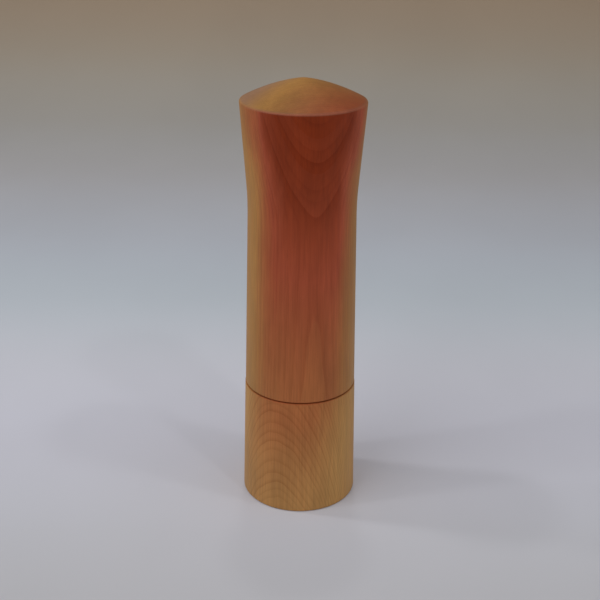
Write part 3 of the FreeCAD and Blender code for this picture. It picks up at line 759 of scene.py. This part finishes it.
class MILL_OT_turn_base(bpy.types.Operator):
    """Turn the base: a tapering drum bored for the grinder, with a recess in its foot"""

    bl_idname = "mill.turn_base"
    bl_label = "Turn Base"

    def execute(self, context):
        shape = context.scene.mill.shape
        wood = context.scene.mill.wood
        recess_radius = sleeve_high.x + shape.recess_clearance
        recess_top = sleeve_low.z + shape.flange_thickness
        outline = [
            (shape.base_top_radius, base_high.z),
            (shape.foot_radius, base_low.z),
            (recess_radius, base_low.z),
            (recess_radius, recess_top),
            (shape.sleeve_bore, recess_top),
            (shape.sleeve_bore, base_high.z - shape.mouth_depth),
            (shape.sleeve_bore + shape.mouth_flare, base_high.z),
        ]
        bm = spun_mesh(outline, closed=True)
        soften_ring(bm, shape.foot_radius, base_low.z, shape.foot_edge)
        soften_ring(bm, shape.base_top_radius, base_high.z, shape.split_edge)
        soften_ring(bm, recess_radius, base_low.z, shape.bore_edge)
        soften_ring(bm, shape.sleeve_bore + shape.mouth_flare, base_high.z, shape.bore_edge)

        def is_bored(centre):
            in_recess = centre.z < recess_top + MM and centre.xy.length < recess_radius + MM
            return in_recess or centre.xy.length < shape.sleeve_bore + shape.mouth_flare + MM

        growth = base_growth(wood)
        colours = (wood.base_wood, wood.base_blush, wood.base_blush, wood.highlight_and_wear_wood)
        zone = {
            "Centre X": 0.002, "Centre Y": -0.030, "Drift X": 0.16, "Inner": 0.008, "Outer": 0.036,
            "Fade Bottom": -0.01, "Fade Top": 0.085, "Bottom Strength": 0.15, "Seam Height": seam_height,
        }
        outside = oiled_wood("oiled_base_wood", wood, growth, colours, zone, ring_strength=0.38)
        inside = bored_wood("bored_base_wood", wood, growth)
        piece = finished_object(bm, "turned_base", [outside, inside], is_bored)
        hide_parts("base_body")
        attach(piece, "base")
        return {"FINISHED"}


class MILL_OT_finish_mouldings(bpy.types.Operator):
    """Finish the moulded parts in black and natural acetal"""

    bl_idname = "mill.finish_mouldings"
    bl_label = "Finish Mouldings"

    def execute(self, context):
        finish = context.scene.mill.finish
        black = moulded(
            "black_acetal", finish.black, roughness=0.46, grain_size=0.45 * MM, grain_depth=0.03 * MM
        )
        black_parts = [
            "grinder_sleeve", "stator_retainer", "bearing_spider", "drive_crown", "coupling_socket",
        ]
        finish_nodes(black, black_parts)
        knob = moulded(
            "black_knob_acetal", finish.black, roughness=0.38, grain_size=0.7 * MM, grain_depth=0.05 * MM
        )
        finish_nodes(knob, ["adjust_knob"])
        natural = moulded(
            "natural_acetal", finish.natural, roughness=0.42, grain_size=0.5 * MM, grain_depth=0.02 * MM
        )
        finish_nodes(natural, ["rotor_hub", "thrust_washer"])
        return {"FINISHED"}


class MILL_OT_finish_burrs(bpy.types.Operator):
    """Finish the two burrs in fired ceramic"""

    bl_idname = "mill.finish_burrs"
    bl_label = "Finish Burrs"

    def execute(self, context):
        ceramic = fired_ceramic("fired_alumina", context.scene.mill.finish.ceramic)
        finish_nodes(ceramic, ["stator_burr", "rotor_burr"])
        return {"FINISHED"}


class MILL_OT_finish_metal(bpy.types.Operator):
    """Finish the spindle, screws, washers, clip and spring in steel"""

    bl_idname = "mill.finish_metal"
    bl_label = "Finish Metal"

    def execute(self, context):
        finish = context.scene.mill.finish
        drawn = drawn_steel("drawn_steel", finish.steel, roughness=0.28, streaks=(3200, 3200, 90))
        finish_nodes(drawn, ["drive_spindle"])
        turned = drawn_steel("turned_steel", finish.steel, roughness=0.26, streaks=(260, 260, 5200))
        finish_nodes(turned, ["crown_screw", "sleeve_screws", "coupling_screws", "crown_washer"])
        sprung = drawn_steel("spring_steel", finish.spring, roughness=0.32, streaks=(900, 900, 3400))
        spring_parts = ["retaining_clip", "click_washer", "upper_spring_washer", "lower_spring_washer"]
        finish_nodes(sprung, spring_parts)
        return {"FINISHED"}


class MILL_OT_wind_spring(bpy.types.Operator):
    """Wind the grinder's spring as one still mesh; the real spring shortens as the rotor rises"""

    bl_idname = "mill.wind_spring"
    bl_label = "Wind Spring"

    def execute(self, context):
        shape = context.scene.mill.shape
        low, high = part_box("grind_spring")
        bm = wound_mesh(low, high, shape.spring_wire, shape.spring_turns)
        piece = finished_object(bm, "wound_spring", [bpy.data.materials["spring_steel"]])
        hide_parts("grind_spring")
        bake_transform(piece)
        return {"FINISHED"}


class MILL_OT_finish_rubber(bpy.types.Operator):
    """Finish the friction ring in black rubber"""

    bl_idname = "mill.finish_rubber"
    bl_label = "Finish Rubber"

    def execute(self, context):
        finish_nodes(seal_rubber("nitrile_rubber", context.scene.mill.finish.rubber), ["friction_ring"])
        return {"FINISHED"}


# The sweep's sizes in metres, measured from the mill's axis towards the backdrop and up from the foot
SWEEP_FRONT = -1.6
SWEEP_CURVE_START = 0.55
SWEEP_CURVE_RADIUS = 0.9
SWEEP_TOP = 2.4
SWEEP_WIDTH = 4.0
SWEEP_DROP = 0.1 * MM


def sweep_mesh():
    """A floor that curves up into a backdrop behind the mill. It lies a hair below the mill's foot."""
    curve_centre = (SWEEP_CURVE_START, SWEEP_CURVE_RADIUS)
    outline = [(SWEEP_FRONT, 0.0)]
    outline += arc_points(curve_centre, SWEEP_CURVE_RADIUS, -math.pi / 2, 0.0, SWEEP_STEPS)
    outline += [(SWEEP_CURVE_START + SWEEP_CURVE_RADIUS, SWEEP_TOP)]
    bm = bmesh.new()
    verts = [bm.verts.new((-SWEEP_WIDTH / 2, y, z - SWEEP_DROP)) for y, z in outline]
    edges = [bm.edges.new(pair) for pair in zip(verts, verts[1:])]
    moved = bmesh.ops.extrude_edge_only(bm, edges=edges)["geom"]
    moved = [part for part in moved if isinstance(part, bmesh.types.BMVert)]
    bmesh.ops.translate(bm, verts=moved, vec=(SWEEP_WIDTH, 0, 0))
    bmesh.ops.recalc_face_normals(bm, faces=bm.faces)
    if sum(face.normal.z for face in bm.faces) < 0:
        bmesh.ops.reverse_faces(bm, faces=bm.faces)
    for face in bm.faces:
        face.smooth = True
    mesh = bpy.data.meshes.new("sweep")
    bm.to_mesh(mesh)
    bm.free()
    return mesh


# Tones of the sweep's paper with painted light and shade in them, each with how far behind the mill it lies
# in metres, from the front backwards
SWEEP_PAINTED_LIGHT_TONES = (
    (-0.20, (0.533, 0.537, 0.565)),
    (-0.05, (0.659, 0.685, 0.772)),
    (0.05, (0.735, 0.761, 0.889)),
    (0.15, (0.745, 0.786, 0.904)),
    (0.25, (0.652, 0.730, 0.835)),
    (0.38, (0.617, 0.672, 0.776)),
    (0.55, (0.595, 0.612, 0.667)),
    (0.70, (0.529, 0.526, 0.524)),
    (0.85, (0.515, 0.469, 0.408)),
    (1.00, (0.491, 0.384, 0.285)),
)


def sweep_paper():
    """Matt pale paper, cooler in front and browner behind, whose tones carry painted light and shade:
    brightest just behind the mill, darker at the front and up the backdrop.
    """
    material, desk, vector, shader = new_material("sweep_paper", 0.85)
    depth = desk.add("SeparateXYZ", {"Vector": vector}).outputs["Y"]
    nearest, farthest = SWEEP_PAINTED_LIGHT_TONES[0][0], SWEEP_PAINTED_LIGHT_TONES[-1][0]
    ramp = desk.add("ValToRGB", {"Fac": desk.share(depth, nearest, farthest)})
    ramp.color_ramp.interpolation = "CARDINAL"
    stops = ramp.color_ramp.elements
    while len(stops) < len(SWEEP_PAINTED_LIGHT_TONES):
        stops.new(1.0)
    for stop, (place, tone) in zip(stops, SWEEP_PAINTED_LIGHT_TONES):
        stop.position = (place - nearest) / (farthest - nearest)
        stop.color = rgba(tone)
    cloud = desk.noise(desk.stretched(vector, (5, 3, 5)), 1.0, detail=3.0, roughness=0.6)[0]
    desk.feed(shader["Base Color"], desk.shade(ramp.outputs["Color"], desk.share(cloud, 0.3, 0.7), 0.02))
    return material


# The three soft lights: name, place, size, the stage's property for the power, and tint
SOFT_LIGHTS = (
    ("key_light", (-0.86, -0.78, 0.95), 1.2, "key_power", (1.0, 0.98, 0.95)),
    ("fill_light", (0.95, -0.55, 0.35), 0.9, "fill_power", (1.0, 0.95, 0.88)),
    ("top_light", (0.05, -0.05, 1.25), 0.9, "top_power", (1.0, 0.99, 0.97)),
)
# The small lamps overhead, as directions from the mill
LAMP_DIRECTIONS = (
    (0.096, -0.043, 0.21),
    (0.093, -0.130, 0.21),
    (-0.149, -0.043, 0.21),
    (-0.089, 0.020, 0.21),
    (-0.153, 0.029, 0.21),
    (0.0, 0.055, 0.21),
)
LAMP_DISTANCE = 1.6
LAMP_SIZE = 0.09
LAMP_TINT = (1.0, 0.98, 0.95)
LIGHT_AIM = (0, 0, 0.11)
ROOM_TINT = (1.0, 0.98, 0.96)


def soft_light(name, place, size, watts, tint):
    """A square area light that faces the mill's middle."""
    light = bpy.data.lights.new(name, "AREA")
    light.shape = "SQUARE"
    light.size = size
    light.energy = watts
    light.color = tint
    lamp = bpy.data.objects.new(name, light)
    lamp.location = place
    lamp.rotation_euler = (Vector(LIGHT_AIM) - Vector(place)).to_track_quat("-Z", "Y").to_euler()
    bpy.context.scene.collection.objects.link(lamp)


class MILL_OT_set_stage(bpy.types.Operator):
    """Set the pale sweep, the soft lights and the camera"""

    bl_idname = "mill.set_stage"
    bl_label = "Set Stage"

    def execute(self, context):
        stage = context.scene.mill.stage
        sweep = bpy.data.objects.new("sweep", sweep_mesh())
        sweep.data.materials.append(sweep_paper())
        context.scene.collection.objects.link(sweep)
        for name, place, size, setting, tint in SOFT_LIGHTS:
            soft_light(name, place, size, getattr(stage, setting), tint)
        for number, direction in enumerate(LAMP_DIRECTIONS):
            place = Vector(direction).normalized() * LAMP_DISTANCE
            soft_light(f"ceiling_lamp_{number}", place, LAMP_SIZE, stage.lamp_power, LAMP_TINT)
        self.set_room(context.scene, stage)
        self.set_camera(context.scene, stage)
        context.scene.view_settings.view_transform = "Standard"
        return {"FINISHED"}

    def set_room(self, scene, stage):
        scene.world = bpy.data.worlds.new("pale_room")
        scene.world.use_nodes = True
        background = scene.world.node_tree.nodes["Background"].inputs
        background["Color"].default_value = rgba(ROOM_TINT)
        background["Strength"].default_value = stage.room_glow

    def set_camera(self, scene, stage):
        camera = bpy.data.cameras.new("camera")
        camera.lens = stage.camera_lens
        camera.sensor_width = 36.0
        camera.clip_start = 0.01
        eye = bpy.data.objects.new("camera", camera)
        turn = Matrix.Rotation(stage.camera_yaw, 4, "Z")
        tilt = Matrix.Rotation(math.pi / 2 - stage.camera_pitch, 4, "X")
        lean = Matrix.Rotation(stage.camera_roll, 4, "Z")
        place = Matrix.Translation((0, -stage.camera_back, stage.camera_up))
        eye.matrix_world = place @ turn @ tilt @ lean
        scene.collection.objects.link(eye)
        scene.camera = eye


class MILL_PT_workbench(bpy.types.Panel):
    """The mill's steps in order, and what can be changed"""

    bl_idname = "MILL_PT_workbench"
    bl_label = "Turned Pepper Mill"
    bl_space_type = "VIEW_3D"
    bl_region_type = "UI"
    bl_category = "Mill"

    def draw(self, context):
        for step in STEPS:
            self.layout.operator(step.bl_idname)
        for group in ("shape", "wood", "finish", "stage"):
            box = self.layout.box()
            settings = getattr(context.scene.mill, group)
            for name in settings.bl_rna.properties.keys():
                if name not in {"rna_type", "name"}:
                    box.prop(settings, name)


STEPS = (
    MILL_OT_make_shared_effects,
    MILL_OT_turn_upper_body,
    MILL_OT_turn_base,
    MILL_OT_finish_mouldings,
    MILL_OT_finish_burrs,
    MILL_OT_finish_metal,
    MILL_OT_wind_spring,
    MILL_OT_finish_rubber,
    MILL_OT_set_stage,
)
GROUPS = (MillShape, MillWood, MillFinish, MillStage, MillSettings)


def register():
    for part in (*GROUPS, *STEPS, MILL_PT_workbench):
        bpy.utils.register_class(part)
    bpy.types.Scene.mill = PointerProperty(type=MillSettings)


def unregister():
    del bpy.types.Scene.mill
    for part in reversed((*GROUPS, *STEPS, MILL_PT_workbench)):
        bpy.utils.unregister_class(part)


def main():
    register()
    for step in STEPS:
        category, name = step.bl_idname.split(".")
        getattr(getattr(bpy.ops, category), name)()


if __name__ == "__main__":
    main()
